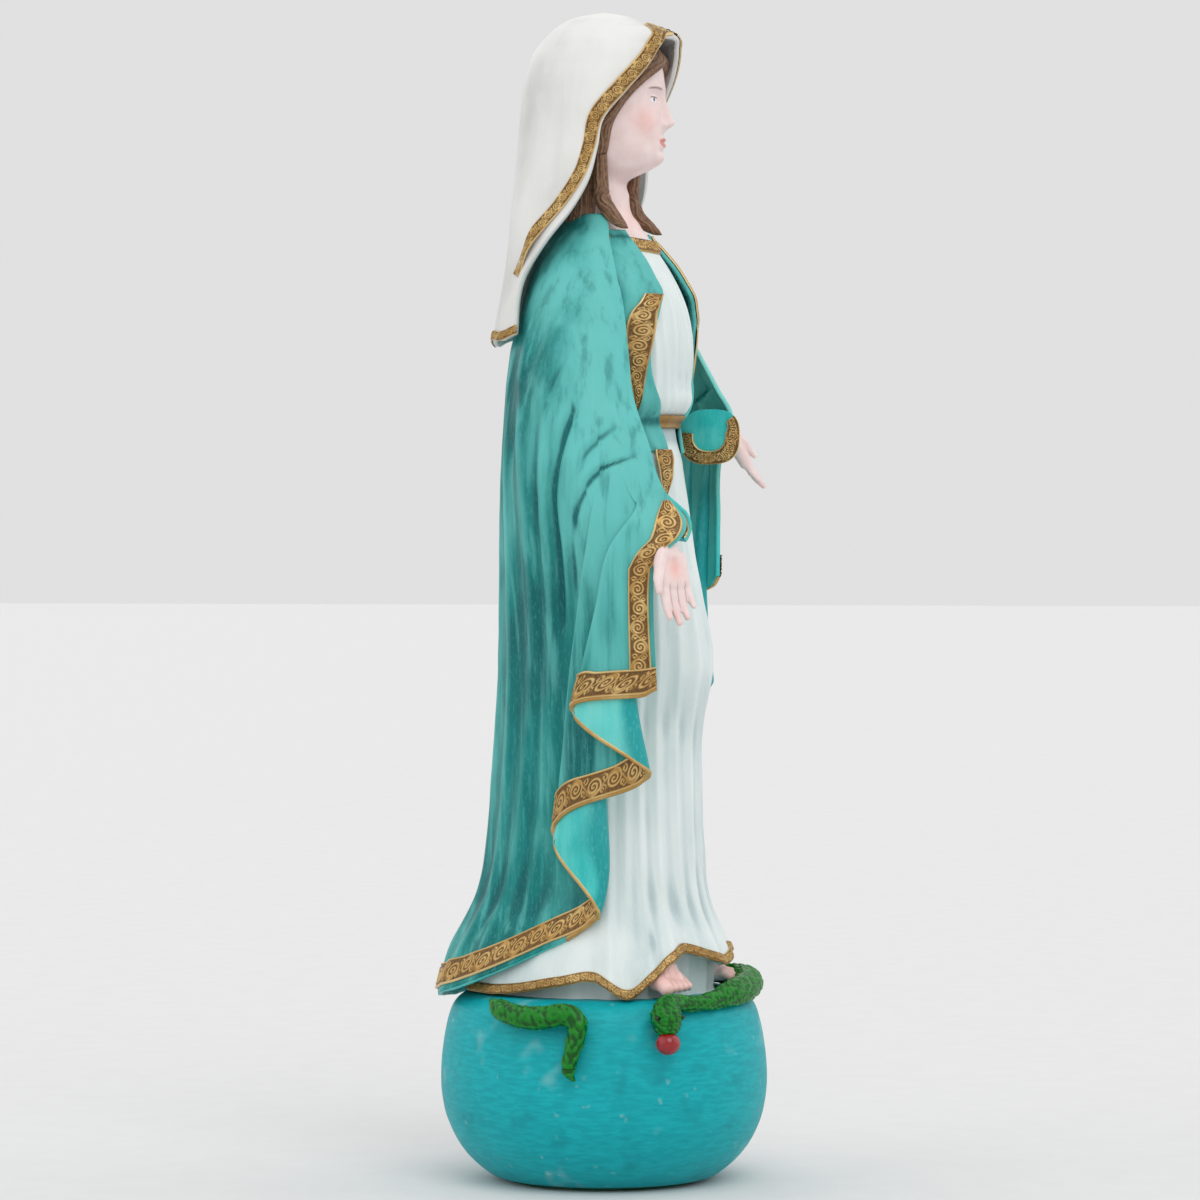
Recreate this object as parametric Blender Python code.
"""Madonna statue on a globe, 400 mm tall: painted castings that fit over and into one another.

Run with: blender --background --factory-startup --python part.py
Frame: +Z up, the figure faces -Y, origin on the floor at the centre of the globe's felt pad.
Sizes below are in millimetres; an angle theta is measured from the front (-Y) towards +X.
"""

import math

import bmesh
import bpy
import numpy as np
from mathutils import Matrix, Vector

MM = 0.001

# Driving dimensions
GAP = 0.35                 # clearance between two castings that touch
FELT_RADIUS = 33.0
FELT_THICKNESS = 1.0
GLOBE_BASE = FELT_THICKNESS + GAP
GLOBE_TOP = 65.0
BOSS_RADIUS = 20.0         # boss on the globe that enters the recess under the gown
BOSS_TOP = 82.0
RECESS_TOP = 83.0
GOWN_WALL = 4.5            # wall of the skirt around its recess
GOWN_TOP = 322.0
NECK_SOCKET_RADIUS = 10.2  # socket in the gown for the plug under the bust
NECK_SOCKET_BOTTOM = 301.0
SKIRT_TOP = 240.0
BELT_LOW, BELT_HIGH = 255.0, 259.5
CLOTH = 2.6                # thickness of the mantle and veil castings
TRIM_THICKNESS = 1.0
TRIM_WIDTH = 8.6           # gold border of the mantle
HEAD_TURN = math.radians(15.0)   # the head looks a little to its left
PIN_RADIUS = 1.0
PIN_LENGTH = 18.0

# Globe outline, radius at height
GLOBE = ((GLOBE_BASE, 37.0), (3.5, 41.0), (8.0, 46.2), (14.0, 50.8), (22.0, 54.4), (31.0, 56.0),
         (40.0, 56.0), (50.0, 54.8), (58.0, 52.8), (62.0, 50.4), (64.2, 47.0), (GLOBE_TOP, 42.0))

# Gown: height, half width, depth in front of the axis, depth behind it
GOWN = ((62.0, 46.5, 47.0, 49.0), (70.0, 45.5, 46.0, 47.0), (80.0, 42.5, 42.0, 42.5),
        (95.0, 38.0, 35.5, 36.5), (115.0, 34.0, 33.5, 32.5), (135.0, 31.5, 33.0, 30.0),
        (155.0, 30.0, 32.5, 28.5), (178.0, 29.0, 35.0, 27.5), (200.0, 27.5, 33.0, 26.5),
        (225.0, 25.5, 30.0, 25.0), (245.0, 23.5, 27.5, 23.5), (258.0, 22.0, 25.5, 22.5),
        (263.0, 24.0, 28.0, 22.8), (275.0, 27.0, 30.0, 23.5), (290.0, 28.0, 30.0, 23.5),
        (303.0, 27.0, 26.5, 22.0), (312.0, 24.0, 22.0, 19.0), (318.0, 19.0, 18.5, 16.5),
        (GOWN_TOP, 15.5, 16.5, 15.0))
GOWN_HEM = ((-180, 65.8), (-150, 65.8), (-110, 67), (-88, 70), (-72, 71.5), (-58, 66), (-45, 73),
            (-30, 80), (-14, 78), (5, 75), (20, 78.5), (34, 76), (58, 66), (72, 71), (88, 70),
            (110, 67), (150, 65.8), (180, 65.8))
KNEE_THETA, KNEE_HEIGHT, KNEE_REACH = 12.0, 178.0, 3.0

# Mantle, right and left side, in plan from the centre back to the free front edge:
# height, depth of the back, side handle (x, y), front edge (x, y)
MANTLE_RIGHT = ((66.0, 57.0, -80, 20, -44, -30), (80.0, 52.0, -72, 12, -42, -33),
                (97.0, 43.5, -62, 6, -42, -36), (120.0, 38.5, -62, 4, -46, -38),
                (140.0, 36.5, -64, 2, -48, -39), (168.0, 34.5, -66, 0, -50, -39),
                (200.0, 33.0, -68, 0, -51, -38), (214.0, 32.5, -72, 0, -51, -38),
                (222.0, 32.0, -76, -4, -49, -43), (229.0, 32.0, -78, -4, -45, -45),
                (245.0, 31.5, -78, 2, -41, -37), (265.0, 30.5, -70, 4, -36, -31),
                (285.0, 29.0, -60, 4, -31, -25), (300.0, 27.5, -50, 3, -27, -19),
                (310.0, 25.5, -42, 2, -24, -15), (318.0, 22.5, -34, 1, -20.5, -11),
                (322.0, 20.5, -29, 0, -19, -9))
MANTLE_LEFT = ((66.0, 57.0, 80, 20, 44, -30), (80.0, 52.0, 72, 12, 42, -30),
               (97.0, 43.5, 62, 6, 42, -30), (120.0, 38.5, 62, 4, 46, -29),
               (140.0, 36.5, 64, 2, 48, -27), (168.0, 34.5, 66, 0, 49, -25),
               (200.0, 33.0, 70, 0, 50, -24), (230.0, 32.0, 74, 0, 50, -24),
               (245.0, 31.5, 76, 0, 50, -24), (255.0, 31.0, 78, -2, 48, -27),
               (264.0, 30.5, 76, -2, 43, -31), (272.0, 30.0, 68, 3, 38, -28),
               (285.0, 29.0, 60, 4, 31, -25), (300.0, 27.5, 50, 3, 27, -19),
               (310.0, 25.5, 42, 2, 24, -15), (318.0, 22.5, 34, 1, 20.5, -11),
               (322.0, 20.5, 29, 0, 19, -9))
# Lower edge of each side of the mantle, height at the share of the way from back to front
HEM_RIGHT = ((0.0, 61), (0.3, 66), (0.5, 78), (0.65, 91), (0.75, 104), (0.85, 127), (0.93, 148),
             (1.0, 168))
HEM_LEFT = ((0.0, 61), (0.3, 68), (0.5, 84), (0.65, 105), (0.75, 125), (0.85, 155), (0.93, 182),
            (1.0, 205))

# Lapel of the mantle on the chest: height, free edge (x, y), edge at the sleeve (x, y)
LAPEL = ((238.0, 22.0, -33.0, 32.0, -33.5), (250.0, 21.0, -30.5, 34.0, -32.5),
         (265.0, 21.0, -28.0, 32.0, -29.5), (277.0, 21.0, -27.0, 29.5, -26.0),
         (291.0, 20.0, -27.0, 26.0, -21.5), (303.0, 19.0, -27.0, 22.5, -18.5),
         (312.0, 17.5, -21.5, 20.5, -16.5), (319.0, 16.0, -16.5, 18.5, -12.5))

# Veil: height, half width, depth in front of the axis, depth behind it
VEIL = ((287.0, 38.5, 38, 39.0), (295.0, 38.0, 38, 37.5), (305.0, 36.5, 37, 35.5),
        (320.0, 33.5, 34, 33.5), (333.0, 30.0, 30, 33.0), (345.0, 27.0, 27, 31.5),
        (358.0, 25.0, 25, 30.5), (370.0, 24.5, 25.5, 29.5), (380.0, 23.5, 26.5, 27.5),
        (387.0, 21.5, 27, 24.8), (391.5, 19.0, 26, 21.0), (395.5, 14.5, 16, 16.5),
        (398.5, 8.5, 9, 10.0), (400.0, 2.0, 2, 2.5))
# Free edge of the veil seen from the side: depth, height, from the back hem up to the forehead
VEIL_EDGE = ((20, 287), (18, 308), (9, 320), (0.5, 330), (-4.5, 339), (-7.5, 352), (-9, 361),
             (-15.5, 370), (-21.5, 379), (-26.2, 391))
CUTTER_REACH, CUTTER_BOTTOM = 60.0, 270.0   # the face opening's cutter runs past the veil by this much
VEIL_HEM_TRIM = (287.3, 290.3)

BUST_BOTTOM = GOWN_TOP + 2 * GAP
# Head, neck and bust: height, half width, depth in front of the axis, depth behind it
HEAD = ((302.0, 9.0, 9.0, 9.0), (GOWN_TOP + GAP, 9.6, 9.6, 9.6), (BUST_BOTTOM, 14.6, 15.4, 13.8),
        (326.5, 12.6, 12.6, 12.6), (331.0, 11.0, 9.6, 12.0), (337.0, 10.5, 8.6, 12.0),
        (343.0, 11.2, 9.2, 13.0), (346.0, 13.2, 15.5, 15.0), (350.0, 15.0, 19.6, 17.0),
        (356.0, 16.6, 20.4, 19.5), (362.0, 17.6, 20.6, 21.0), (369.0, 18.2, 20.2, 21.8),
        (376.0, 18.4, 20.8, 21.8), (383.0, 17.4, 19.4, 20.2), (389.0, 14.2, 15.6, 16.2),
        (393.0, 9.0, 9.6, 10.2), (394.8, 3.0, 3.2, 3.4))
NOSE_HEIGHT, NOSE_REACH = 361.5, 3.6
HAIR_LIFT, HAIR_THICKNESS = 0.9, 1.0
HAIRLINE = ((340, 104), (352, 98), (362, 92), (372, 76), (380, 56), (386, 38))   # angle at height
# Lock of hair on the left: x, y, z, radius
LOCK = ((14.6, -2.0, 338.6, 2.6), (14.8, -3.5, 335, 3.0), (15.2, -7.0, 331, 3.0),
        (15.6, -10.5, 328.6, 2.6), (16.0, -13.5, 327.2, 1.6))

TURQUOISE = (0.10, 0.56, 0.58)
GLOBE_BLUE = (0.05, 0.50, 0.62)
WHITE = (0.86, 0.87, 0.85)
GOLD = (0.48, 0.30, 0.09)
SKIN = (0.86, 0.70, 0.68)
BROWN = (0.24, 0.13, 0.07)
GREEN = (0.02, 0.26, 0.03)
RED = (0.55, 0.01, 0.02)
STEEL = (0.6, 0.6, 0.6)
FELT = (0.03, 0.12, 0.06)


# ---------------------------------------------------------------- shape formulas

def through(stations, x, column=1):
    """Smooth value at x through hand-set stations, held flat beyond the ends."""
    xs = np.array([s[0] for s in stations], float)
    ys = np.array([s[column] for s in stations], float)
    slopes = np.gradient(ys, xs)
    x = np.clip(x, xs[0], xs[-1])
    i = np.clip(np.searchsorted(xs, x) - 1, 0, len(xs) - 2)
    step = xs[i + 1] - xs[i]
    t = (x - xs[i]) / step
    return ((1 + 2 * t) * (1 - t) ** 2 * ys[i] + t * (1 - t) ** 2 * step * slopes[i]
            + t * t * (3 - 2 * t) * ys[i + 1] + t * t * (t - 1) * step * slopes[i + 1])


def oval(stations, theta, z):
    """Radius of a half-oval, half-oval section at angle theta and height z."""
    across = through(stations, z, 1)
    front, behind = through(stations, z, 2), through(stations, z, 3)
    along = np.where(np.cos(theta) > 0, front, behind)
    return 1 / np.sqrt((np.sin(theta) / across) ** 2 + (np.cos(theta) / along) ** 2)


def fold_height(z):
    """Depth of the gown's folds: none above the waist, deeper towards the hem."""
    return 1.3 * np.clip((250 - z) / 150, 0, 1)


def gown_radius(theta, z):
    knee = KNEE_REACH * np.exp(-((theta - math.radians(KNEE_THETA)) / 0.45) ** 2
                               - ((z - KNEE_HEIGHT) / 24) ** 2)
    folds = fold_height(z) * np.cos(9 * theta + 0.02 * z)
    return oval(GOWN, theta, z) + knee + folds


def polar(theta, radius, z):
    x, y, z = np.broadcast_arrays(radius * np.sin(theta), -radius * np.cos(theta), z)
    return np.stack([x, y, z], axis=-1)


def mantle_point(side, share, z):
    """Point on the mantle's outside: share 0 is the centre back, 1 the free front edge."""
    stations = MANTLE_RIGHT if side < 0 else MANTLE_LEFT
    back = through(stations, z, 1)
    handle_x, handle_y = through(stations, z, 2), through(stations, z, 3)
    edge_x, edge_y = through(stations, z, 4), through(stations, z, 5)
    a, b, c, d = (1 - share) ** 3, 3 * (1 - share) ** 2 * share, 3 * (1 - share) * share ** 2, share ** 3
    x = b * 0.42 * handle_x + c * handle_x + d * edge_x
    y = (a + b) * back + c * handle_y + d * edge_y
    return np.stack([x, y, z + 0 * x], axis=-1)


# ---------------------------------------------------------------- building helpers

def clear_scene():
    for obj in list(bpy.data.objects):
        bpy.data.objects.remove(obj)


def paint(name, color, roughness=0.5, metallic=0.0):
    material = bpy.data.materials.get(name)
    if material is None:
        material = bpy.data.materials.new(name)
        material.use_nodes = True
        shader = material.node_tree.nodes["Principled BSDF"]
        shader.inputs["Base Color"].default_value = (*color, 1.0)
        shader.inputs["Roughness"].default_value = roughness
        shader.inputs["Metallic"].default_value = metallic
        material.diffuse_color = (*color, 1.0)
    return material


def add_object(name, bm, material, smooth_angle=40):
    mesh = bpy.data.meshes.new(name)
    bm.to_mesh(mesh)
    bm.free()
    mesh.materials.append(material)
    mesh.shade_smooth()
    mesh.set_sharp_from_angle(angle=math.radians(smooth_angle))
    obj = bpy.data.objects.new(name, mesh)
    bpy.context.scene.collection.objects.link(obj)
    return obj


def grid_faces(bm, verts, close_around=False):
    """Quads between the rows of a grid of vertices."""
    columns = len(verts[0])
    last = columns if close_around else columns - 1
    for lower, upper in zip(verts, verts[1:]):
        for i in range(last):
            k = (i + 1) % columns
            bm.faces.new((lower[i], lower[k], upper[k], upper[i]))


def grid_verts(bm, points):
    return [[bm.verts.new(Vector(p) * MM) for p in row] for row in points]


def loft(name, rings, material, ring_shaped=False):
    """Closed solid through rings of points. ring_shaped joins the last ring to the first."""
    bm = bmesh.new()
    verts = grid_verts(bm, rings)
    if ring_shaped:
        verts.append(verts[0])
    grid_faces(bm, verts, close_around=True)
    if not ring_shaped:
        bm.faces.new(verts[0])
        bm.faces.new(verts[-1])
    bmesh.ops.recalc_face_normals(bm, faces=bm.faces)
    return add_object(name, bm, material)


def cloth(name, points, thickness, material, outward=False, close_top=False):
    """Sheet through a grid of points, made solid by a Solidify modifier."""
    bm = bmesh.new()
    verts = grid_verts(bm, points)
    grid_faces(bm, verts, close_around=close_top)
    if close_top:
        bm.faces.new(verts[-1])
    bmesh.ops.recalc_face_normals(bm, faces=bm.faces)
    if sum(f.normal.xy.dot(f.calc_center_median().xy) * f.calc_area() for f in bm.faces) < 0:
        bmesh.ops.reverse_faces(bm, faces=bm.faces)
    obj = add_object(name, bm, material)
    thicken = obj.modifiers.new("Thickness", "SOLIDIFY")
    thicken.thickness = thickness * MM
    thicken.offset = 1.0 if outward else -1.0
    thicken.use_even_offset = False
    return obj


def capsules(name, bones, voxel, material, transform=Matrix.Identity(4)):
    """Round-ended rods (start, end, radius at start, radius at end), joined by a voxel remesh."""
    bm = bmesh.new()
    for start, end, first, last in bones:
        start, end = Vector(start), Vector(end)
        axis = end - start
        turn = axis.to_track_quat("Z", "Y").to_matrix().to_4x4()
        place = Matrix.Translation((start + end) / 2) @ turn
        bmesh.ops.create_cone(bm, segments=16, radius1=first, radius2=last, depth=axis.length,
                              cap_ends=True, matrix=place)
        for centre, radius in ((start, first), (end, last)):
            bmesh.ops.create_uvsphere(bm, u_segments=16, v_segments=10, radius=radius,
                                      matrix=Matrix.Translation(centre))
    bmesh.ops.transform(bm, matrix=Matrix.Scale(MM, 4) @ transform, verts=bm.verts)
    obj = add_object(name, bm, material)
    remesh = obj.modifiers.new("Join", "REMESH")
    remesh.mode = "VOXEL"
    remesh.voxel_size = voxel * MM
    remesh.use_smooth_shade = True
    return obj


def tube(name, path, radii, sides, material):
    """Closed round solid along a path, with a radius at each point."""
    path = [Vector(p) for p in path]
    rings = []
    for i, (point, radius) in enumerate(zip(path, radii)):
        ahead = path[min(i + 1, len(path) - 1)] - path[max(i - 1, 0)]
        turn = ahead.to_track_quat("Z", "Y").to_matrix()
        angles = [2 * math.pi * k / sides for k in range(sides)]
        rings.append([point + turn @ Vector((radius * math.cos(a), radius * math.sin(a), 0))
                      for a in angles])
    return loft(name, rings, material)


def hide(obj):
    obj.hide_render = True
    obj.display_type = "WIRE"


def grown_copy(obj, gap):
    """Hidden copy of an object as it is evaluated, with its surface moved out by gap."""
    graph = bpy.context.evaluated_depsgraph_get()
    bm = bmesh.new()
    bm.from_mesh(bpy.data.meshes.new_from_object(obj.evaluated_get(graph)))
    bmesh.ops.transform(bm, matrix=obj.matrix_world, verts=bm.verts)
    bmesh.ops.recalc_face_normals(bm, faces=bm.faces)
    bm.normal_update()
    for vert, normal in [(v, v.normal.copy()) for v in bm.verts]:
        vert.co += normal * gap * MM
    mesh = bpy.data.meshes.new(obj.name + "_clearance")
    bm.to_mesh(mesh)
    bm.free()
    cutter = bpy.data.objects.new(mesh.name, mesh)
    bpy.context.scene.collection.objects.link(cutter)
    hide(cutter)
    return cutter


def cut(obj, cutter, operation="DIFFERENCE"):
    boolean = obj.modifiers.new("Cut by " + cutter.name, "BOOLEAN")
    boolean.operation = operation
    boolean.solver = "EXACT"
    boolean.object = cutter


def keep_clear(obj, *neighbours, gap=GAP):
    for neighbour in neighbours:
        bpy.context.view_layer.update()
        cut(obj, grown_copy(neighbour, gap))


def cylinder(name, start, end, radius, material, segments=20):
    """Plain round bar between two points."""
    start, end = Vector(start) * MM, Vector(end) * MM
    axis = end - start
    bm = bmesh.new()
    place = Matrix.Translation((start + end) / 2) @ axis.to_track_quat("Z", "Y").to_matrix().to_4x4()
    bmesh.ops.create_cone(bm, segments=segments, radius1=radius * MM, radius2=radius * MM,
                          depth=axis.length, cap_ends=True, matrix=place)
    return add_object(name, bm, material)


# ---------------------------------------------------------------- the base

def make_globe():
    """Solid globe with a boss on top, which enters the gown."""
    boss = ((GLOBE_TOP, BOSS_RADIUS), (BOSS_TOP, BOSS_RADIUS))
    around = np.linspace(0, 2 * math.pi, 40, endpoint=False)
    return loft("globe", [polar(around, radius, z) for z, radius in GLOBE + boss],
                paint("globe_paint", GLOBE_BLUE))


def make_underside():
    cylinder("base_felt", (0, 0, 0), (0, 0, FELT_THICKNESS), FELT_RADIUS, paint("felt", FELT, 1.0), 48)


# ---------------------------------------------------------------- the gown

GOWN_COLUMNS = np.linspace(-math.pi, math.pi, 54, endpoint=False)


def hem_height(theta):
    return through(GOWN_HEM, np.degrees(theta))


def make_gown():
    """White gown, a solid casting with a recess below for the globe's boss and a socket at the neck."""
    theta = GOWN_COLUMNS
    hem = hem_height(theta)
    skirt = [hem + share * (SKIRT_TOP - hem) for share in (0, 0.05, 0.13, 0.26, 0.4, 0.55, 0.7, 0.85, 1)]
    bodice = [theta * 0 + z for z in (BELT_LOW, BELT_HIGH, 274, 292, 306, 316, GOWN_TOP)]
    outside = [polar(theta, gown_radius(theta, z), z) for z in skirt + bodice]
    recess = [polar(theta, oval(GOWN, theta, z) - fold_height(z) - GOWN_WALL, z)
              for z in (theta * 0 + RECESS_TOP, hem)]
    socket = [polar(theta, NECK_SOCKET_RADIUS, z) for z in (GOWN_TOP, NECK_SOCKET_BOTTOM)]
    return loft("gown", recess + outside + socket, paint("gown_paint", WHITE))


def band_on_gown(name, theta, low, high, thickness, material):
    """Closed hoop just clear of the gown between two heights."""
    section = ((low, GAP), (low, GAP + thickness), (high, GAP + thickness), (high, GAP))
    rings = [polar(theta, gown_radius(theta, z) + lift, z) for z, lift in section]
    return loft(name, rings, material, ring_shaped=True)


def make_gown_trims():
    gold = paint("gold_paint", GOLD, 0.4, 0.6)
    hem = hem_height(GOWN_COLUMNS)
    band_on_gown("gown_hem_trim", GOWN_COLUMNS, hem, hem + 2.6, TRIM_THICKNESS, gold)
    band_on_gown("girdle", GOWN_COLUMNS, BELT_LOW, BELT_HIGH, 1.2, gold)
    theta = np.radians(np.linspace(-64, 64, 17))
    rows = [polar(theta, gown_radius(theta, z) + GAP, z) for z in (318.2, 320.0, 321.8)]
    cloth("neckline_trim", rows, 1.2, gold, outward=True)


# ---------------------------------------------------------------- the mantle

MANTLE_SHARES = np.array([*np.linspace(0, 0.91, 14), 1.0])
MANTLE_SEAM = 0.012        # where each side's hem border starts, just off the centre back
MANTLE_MIDDLE = 120.0      # height where the length of a side is taken, for the slope of its hem
TRIM_LIFT = 0.6            # borders stand this far off the mantle, which is faceted under them


def side_hem(side, share):
    return through(HEM_RIGHT if side < 0 else HEM_LEFT, share)


def mantle_row(side, shares, z, lift=0.0):
    """Points across one side of the mantle, moved out of its surface by lift."""
    points = mantle_point(side, shares, z)
    if lift:
        run = mantle_point(side, shares + 0.005, z) - mantle_point(side, shares - 0.005, z)
        normal = np.stack([run[..., 1], -run[..., 0], 0 * run[..., 0]], axis=-1) * -side
        points = points + lift * normal / np.linalg.norm(normal, axis=-1, keepdims=True)
    return points


def mantle_heights(side, shares):
    """Heights of the mantle's rows: its hem, the top of the hem border, then evenly up to the collar."""
    low = side_hem(side, shares)
    front, middle = mantle_point(side, 1.0, MANTLE_MIDDLE), mantle_point(side, 0.5, MANTLE_MIDDLE)
    run = 2 * np.linalg.norm(front - middle)
    slope = (side_hem(side, shares + 0.01) - side_hem(side, shares - 0.01)) / (0.02 * run)
    border = low + TRIM_WIDTH * np.sqrt(1 + slope ** 2)
    return [low] + [border + height * (GOWN_TOP - border) for height in np.linspace(0, 1, 12)]


def make_mantle():
    """Turquoise mantle with both sleeves: one curved wall from the collar down to the hem."""
    halves = []
    for side, order in ((-1, MANTLE_SHARES[::-1]), (1, MANTLE_SHARES[1:])):
        halves.append([mantle_row(side, order, z) for z in mantle_heights(side, order)])
    rows = [[*right, *left] for right, left in zip(*halves)]
    return cloth("mantle", rows, CLOTH, paint("mantle_paint", TURQUOISE))


def make_mantle_trims():
    """Gold borders: along the hem of each side, and up the front edge of each sleeve to the cuff."""
    gold = paint("gold_paint", GOLD, 0.4, 0.6)
    for side, name in ((-1, "right"), (1, "left")):
        shares = np.array([MANTLE_SEAM, *MANTLE_SHARES[1:]])
        rows = [mantle_row(side, shares, z, TRIM_LIFT) for z in mantle_heights(side, shares)[:2]]
        cloth(f"{name}_hem_trim", rows, TRIM_THICKNESS, gold, outward=True)
        edge = MANTLE_SHARES[-2:]
        levels = mantle_heights(side, edge)[1:5]
        levels[0] = levels[0] + TRIM_THICKNESS
        rows = [mantle_row(side, edge, z, TRIM_LIFT) for z in levels]
        cloth(f"{name}_cuff_trim", rows, TRIM_THICKNESS, gold, outward=True)


def lapel_row(side, z, shares, lift=0.0):
    """Points across a lapel: share 0 at its free edge, 1 where it goes under the sleeve."""
    x = through(LAPEL, z, 1) * (1 - shares) + through(LAPEL, z, 3) * shares
    y = through(LAPEL, z, 2) * (1 - shares) + through(LAPEL, z, 4) * shares
    return np.stack([side * (x + 0.4 * lift), y - 0.9 * lift, z + 0 * x], axis=-1)


def make_lapels(*neighbours):
    gold = paint("gold_paint", GOLD, 0.4, 0.6)
    for side, name in ((-1, "right"), (1, "left")):
        heights = np.linspace(LAPEL[0][0], LAPEL[-1][0], 15)
        lapel = cloth(f"{name}_lapel", [lapel_row(side, z, np.linspace(0, 1, 7)) for z in heights], 1.8,
                      paint("mantle_paint", TURQUOISE))
        keep_clear(lapel, *neighbours)
        rows = [lapel_row(side, z, np.linspace(0, 0.62, 4), GAP) for z in np.linspace(268, 302, 9)]
        cloth(f"{name}_lapel_trim", rows, TRIM_THICKNESS, gold, outward=True)


# ---------------------------------------------------------------- the veil

def veil_grid(heights, columns=36):
    around = np.linspace(-math.pi, math.pi, columns, endpoint=False)
    return [polar(around, oval(VEIL, around, z), z) for z in heights]


def make_veil():
    """White veil: a thin closed crown, cut away in front of its free edge."""
    heights = (287, 293, 303, 315, 327, 339, 351, 363, 373, 382, 388, 392.5, 396.5, 398.8, 400)
    veil = cloth("veil", veil_grid(heights), CLOTH, paint("veil_paint", WHITE), close_top=True)
    outline = [*VEIL_EDGE, (-CUTTER_REACH, VEIL_EDGE[-1][1]), (-CUTTER_REACH, CUTTER_BOTTOM),
               (VEIL_EDGE[0][0], CUTTER_BOTTOM)]
    bm = bmesh.new()
    verts = [bm.verts.new(Vector((-CUTTER_REACH, y, z)) * MM) for y, z in outline]
    face = bm.faces.new(verts)
    pushed = bmesh.ops.extrude_face_region(bm, geom=[face])
    moved = [v for v in pushed["geom"] if isinstance(v, bmesh.types.BMVert)]
    bmesh.ops.translate(bm, vec=Vector((2 * CUTTER_REACH * MM, 0, 0)), verts=moved)
    bmesh.ops.recalc_face_normals(bm, faces=bm.faces)
    cutter = add_object("face_opening", bm, paint("veil_paint", WHITE))
    hide(cutter)
    cut(veil, cutter)
    return veil


def veil_edge_point(side, share, lift, inset):
    """Point on the veil at a share of the way up its free edge, set back from the edge by inset."""
    lengths = [0.0]
    for (y0, z0), (y1, z1) in zip(VEIL_EDGE, VEIL_EDGE[1:]):
        lengths.append(lengths[-1] + math.hypot(y1 - y0, z1 - z0))
    stations = [(s / lengths[-1], y, z) for s, (y, z) in zip(lengths, VEIL_EDGE)]
    before, after = max(share - 0.02, 0), min(share + 0.02, 1)
    run = through(stations, after, 1) - through(stations, before, 1)
    rise = through(stations, after, 2) - through(stations, before, 2)
    y = through(stations, share, 1) + inset * rise / math.hypot(run, rise)
    z = through(stations, share, 2) - inset * run / math.hypot(run, rise)
    along = through(VEIL, z, 2 if y < 0 else 3)
    x = through(VEIL, z, 1) * math.sqrt(max(1 - (y / along) ** 2, 0))
    return polar(side * math.atan2(x, -y), math.hypot(x, y) + lift, z)


def make_veil_trims():
    """Gold border up each free edge of the veil, and one along the hem at the back."""
    gold = paint("gold_paint", GOLD, 0.4, 0.6)
    for side, name in ((-1, "right"), (1, "left")):
        rows = [[veil_edge_point(side, share, GAP, inset) for inset in (0.4, 2.2, 4.0)]
                for share in np.linspace(0.17, 0.955, 20)]
        cloth(f"veil_{name}_trim", rows, TRIM_THICKNESS, gold, outward=True)
    around = np.radians(np.linspace(124, 236, 20))
    rows = [polar(around, oval(VEIL, around, z) + GAP, z) for z in VEIL_HEM_TRIM]
    cloth("veil_hem_trim", rows, TRIM_THICKNESS, gold, outward=True)


# ---------------------------------------------------------------- head and hair

def head_radius(theta, z):
    nose = NOSE_REACH * np.exp(-(theta / 0.13) ** 2 - ((z - NOSE_HEIGHT) / 3.2) ** 2)
    return oval(HEAD, theta, z) + nose


def make_head():
    """Head, neck and bust in one casting, whose round plug drops into the neck of the gown."""
    theta = np.linspace(-math.pi, math.pi, 32, endpoint=False)
    heights = [302, GOWN_TOP + GAP, BUST_BOTTOM, 326, 333, 339, 343, 345.5, 348.5, 353, 358, 361.5,
               365, 370, 376, 382, 388, 391.5, 393.8, 394.8]
    rings = [polar(theta + HEAD_TURN, head_radius(theta, z), z) for z in heights]
    return loft("head", rings, paint("skin_paint", SKIN))


def make_hair():
    """Hair lying between the head and the veil, and a lock down each side of the neck."""
    brown = paint("hair_paint", BROWN)
    rows = []
    for z in (340, 345.5, 350, 355, 361.5, 366, 370, 376, 382, 386):
        first = math.radians(float(through(HAIRLINE, z)))
        theta = np.linspace(first, 2 * math.pi - first, 24)
        rows.append(polar(theta + HEAD_TURN, oval(HEAD, theta, z) + HAIR_LIFT, z))
    cloth("hair", rows, HAIR_THICKNESS, brown, outward=True)
    for side, name in ((-1, "right"), (1, "left")):
        path, radii = [(side * x, y, z) for x, y, z, _ in LOCK], [station[3] for station in LOCK]
        tube(f"{name}_hair_lock", path, radii, 12, brown)


# ---------------------------------------------------------------- arms and hands

# Left hand as round-ended rods (start, end, radius at each), with z towards the fingertips
HAND = [((0, 0, -4), (0, 0, 6), 3.4, 3.4), ((-3.3, 0, 7), (-3.2, 0, 14), 2.8, 2.4),
        ((0, 0, 7), (0, 0, 14.5), 3.0, 2.6), ((3.2, 0, 7), (3.3, 0, 14), 2.9, 2.5),
        ((4.2, 0, 14.5), (4.7, 0.4, 24.5), 1.7, 1.3), ((1.5, 0, 15), (1.7, 0.6, 26.5), 1.7, 1.3),
        ((-1.3, 0, 14.5), (-1.4, 0.8, 25.0), 1.7, 1.3), ((-4.0, 0, 13.5), (-4.5, 1.0, 22.0), 1.5, 1.2),
        ((3.8, 1.0, 6.5), (7.6, 2.4, 12.5), 2.2, 1.7), ((7.6, 2.4, 12.5), (8.4, 3.0, 17.0), 1.7, 1.3)]


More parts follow.
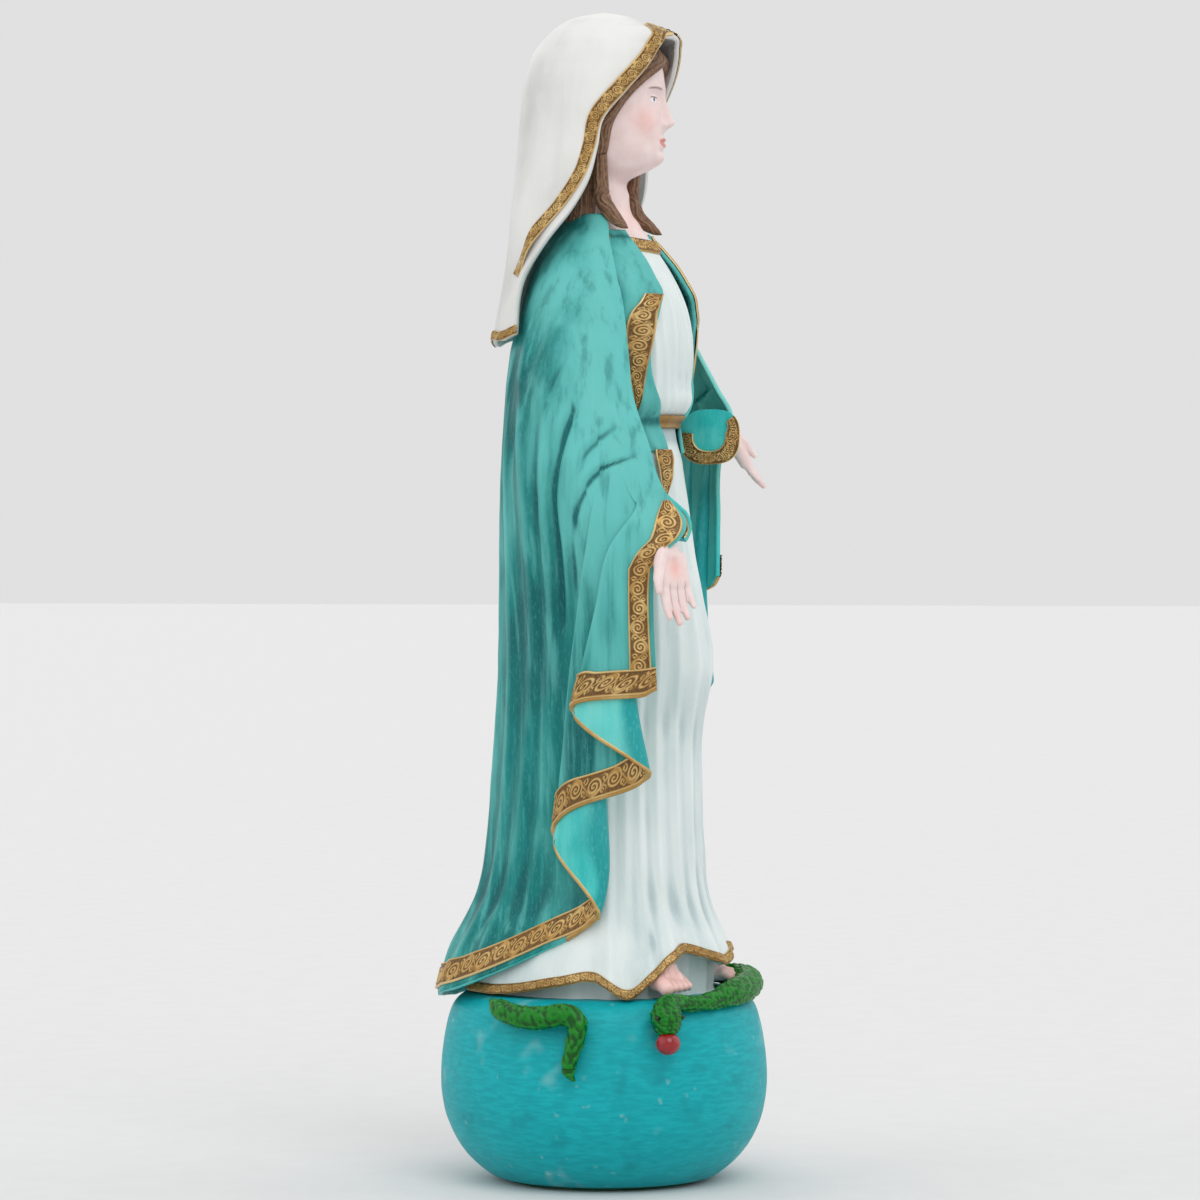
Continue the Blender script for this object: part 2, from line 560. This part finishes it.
# Left foot with z towards the toes, and its toes as (position across the foot, radius at the tip)
FOOT = [((0, 0, -8), (0, 0.2, 4), 4.2, 4.0), ((-1.6, -0.6, 3), (-1.6, -1.2, 7), 3.0, 2.4),
        ((1.8, -0.6, 3), (1.8, -1.2, 7), 3.0, 2.4)]
TOES = [(-3.4, 1.5), (-1.8, 1.5), (-0.1, 1.6), (1.6, 1.7), (3.6, 2.1)]
FOOT_REACH, FOOT_HEIGHT = 34.0, 70.0


def frame_at(origin, fingers, palm):
    """Matrix of a hand: z along the fingers, y out of the palm, x towards the thumb."""
    z_axis = Vector(fingers).normalized()
    y_axis = (Vector(palm) - Vector(palm).dot(z_axis) * z_axis).normalized()
    x_axis = y_axis.cross(z_axis)
    turn = Matrix((x_axis, y_axis, z_axis)).transposed().to_4x4()
    return Matrix.Translation(Vector(origin)) @ turn


def mirrored(bones):
    return [((-a[0], a[1], a[2]), (-b[0], b[1], b[2]), r, s) for a, b, r, s in bones]


def make_arm(side, name, place, elbow, cuff, mantle):
    """One hand, the steel pin through its wrist, and the sleeve's inner arm that holds the pin."""
    hand = capsules(f"{name}_hand", HAND if side > 0 else mirrored(HAND), 1.7,
                    paint("skin_paint", SKIN), place)
    wrist = place @ Vector((0, 0, 2.0))
    into_arm = (Vector(elbow) - Vector(cuff)).normalized()
    pin_end = wrist + into_arm * PIN_LENGTH
    pin = cylinder(f"{name}_hand_pin", wrist, pin_end, PIN_RADIUS, paint("steel", STEEL, 0.3, 1.0), 12)
    arm = capsules(f"{name}_inner_sleeve", [(elbow, cuff, 8.0, 6.2)], 4.0,
                   paint("mantle_paint", TURQUOISE))
    keep_clear(arm, hand, pin, mantle)
    keep_clear(hand, pin, mantle)


def make_feet():
    """Bare feet on the globe, their toes under the arches of the gown's hem."""
    feet = []
    bones = FOOT + [((x, -1.2, 6.5), (x * 1.05, -2.0, 10.8 + 0.25 * x), 1.8, tip) for x, tip in TOES]
    for side, name, theta in ((-1, "right", -35), (1, "left", 24)):
        outward = Vector((math.sin(math.radians(theta)), -math.cos(math.radians(theta)), 0))
        place = frame_at(outward * FOOT_REACH + Vector((0, 0, FOOT_HEIGHT)), outward, (0, 0, 1))
        feet.append(capsules(f"{name}_foot", bones if side > 0 else mirrored(bones), 1.9,
                             paint("skin_paint", SKIN), place))
    return feet


# ---------------------------------------------------------------- the serpent

# Serpent: theta in degrees, distance from the axis, height, radius
SNAKE_FRONT = ((42, 37, 69.2, 3.0), (38, 43, 69.4, 3.8), (31, 48.5, 69.4, 4.3), (20, 50.3, 69.2, 4.6),
               (5, 50.5, 69, 4.7), (-12, 50.5, 69, 4.7), (-27, 50.5, 69, 4.6), (-38, 51.5, 69, 4.3),
               (-44, 54, 67.5, 4.0), (-47, 57, 64, 4.6), (-47.5, 58.6, 60, 5.2), (-47.5, 59.4, 56.6, 3.6))
SNAKE_TAIL = ((-113, 54.0, 64.4, 1.6), (-108, 55.6, 62.6, 3.4), (-101, 56.8, 60.8, 4.0),
              (-93, 57.2, 59.9, 4.1), (-86, 57.2, 60.8, 4.0), (-80.5, 57.0, 61.4, 3.8),
              (-77, 57.6, 58.2, 3.6), (-77.5, 58.4, 53.0, 3.2), (-79, 58.9, 47.5, 2.7),
              (-79.5, 58.9, 43, 2.2), (-77.8, 58.2, 39.5, 1.3))
APPLE = (-47.5, 60.0, 52.0, 4.0)


def make_snake_part(name, stations, samples, material):
    steps = [(i, *station) for i, station in enumerate(stations)]
    at = np.linspace(0, len(stations) - 1, samples)
    theta, radius, z, thick = (through(steps, at, column) for column in (1, 2, 3, 4))
    return tube(name, polar(np.radians(theta), radius, z), thick, 10, material)


def make_serpent(*neighbours):
    green = paint("snake_paint", GREEN)
    keep_clear(make_snake_part("snake_front", SNAKE_FRONT, 26, green), *neighbours)
    keep_clear(make_snake_part("snake_tail", SNAKE_TAIL, 22, green), *neighbours)
    theta, radius, z, size = APPLE
    bm = bmesh.new()
    centre = Vector(polar(np.radians(theta), radius, z)) * MM
    bmesh.ops.create_uvsphere(bm, u_segments=16, v_segments=10, radius=size * MM,
                              matrix=Matrix.Translation(centre))
    add_object("apple", bm, paint("apple_paint", RED, 0.15), smooth_angle=80)


def main():
    clear_scene()
    globe = make_globe()
    make_underside()
    gown = make_gown()
    make_gown_trims()
    mantle = make_mantle()
    make_mantle_trims()
    make_lapels(mantle, gown)
    make_veil()
    make_veil_trims()
    make_head()
    make_hair()
    right_hand = frame_at((-44.5, -40.0, 218.5), (-0.10, -0.24, -0.96), (-0.55, -0.83, 0))
    make_arm(-1, "right", right_hand, (-39.5, 0.0, 249.0), (-42.0, -32.0, 226.0), mantle)
    left_hand = frame_at((41.0, -29.0, 256.5), (0.40, -0.42, -0.80), (0.1, -0.75, 0.6))
    make_arm(1, "left", left_hand, (39.0, 2.0, 254.0), (40.0, -22.0, 257.0), mantle)
    make_serpent(gown, globe, *make_feet())


main()
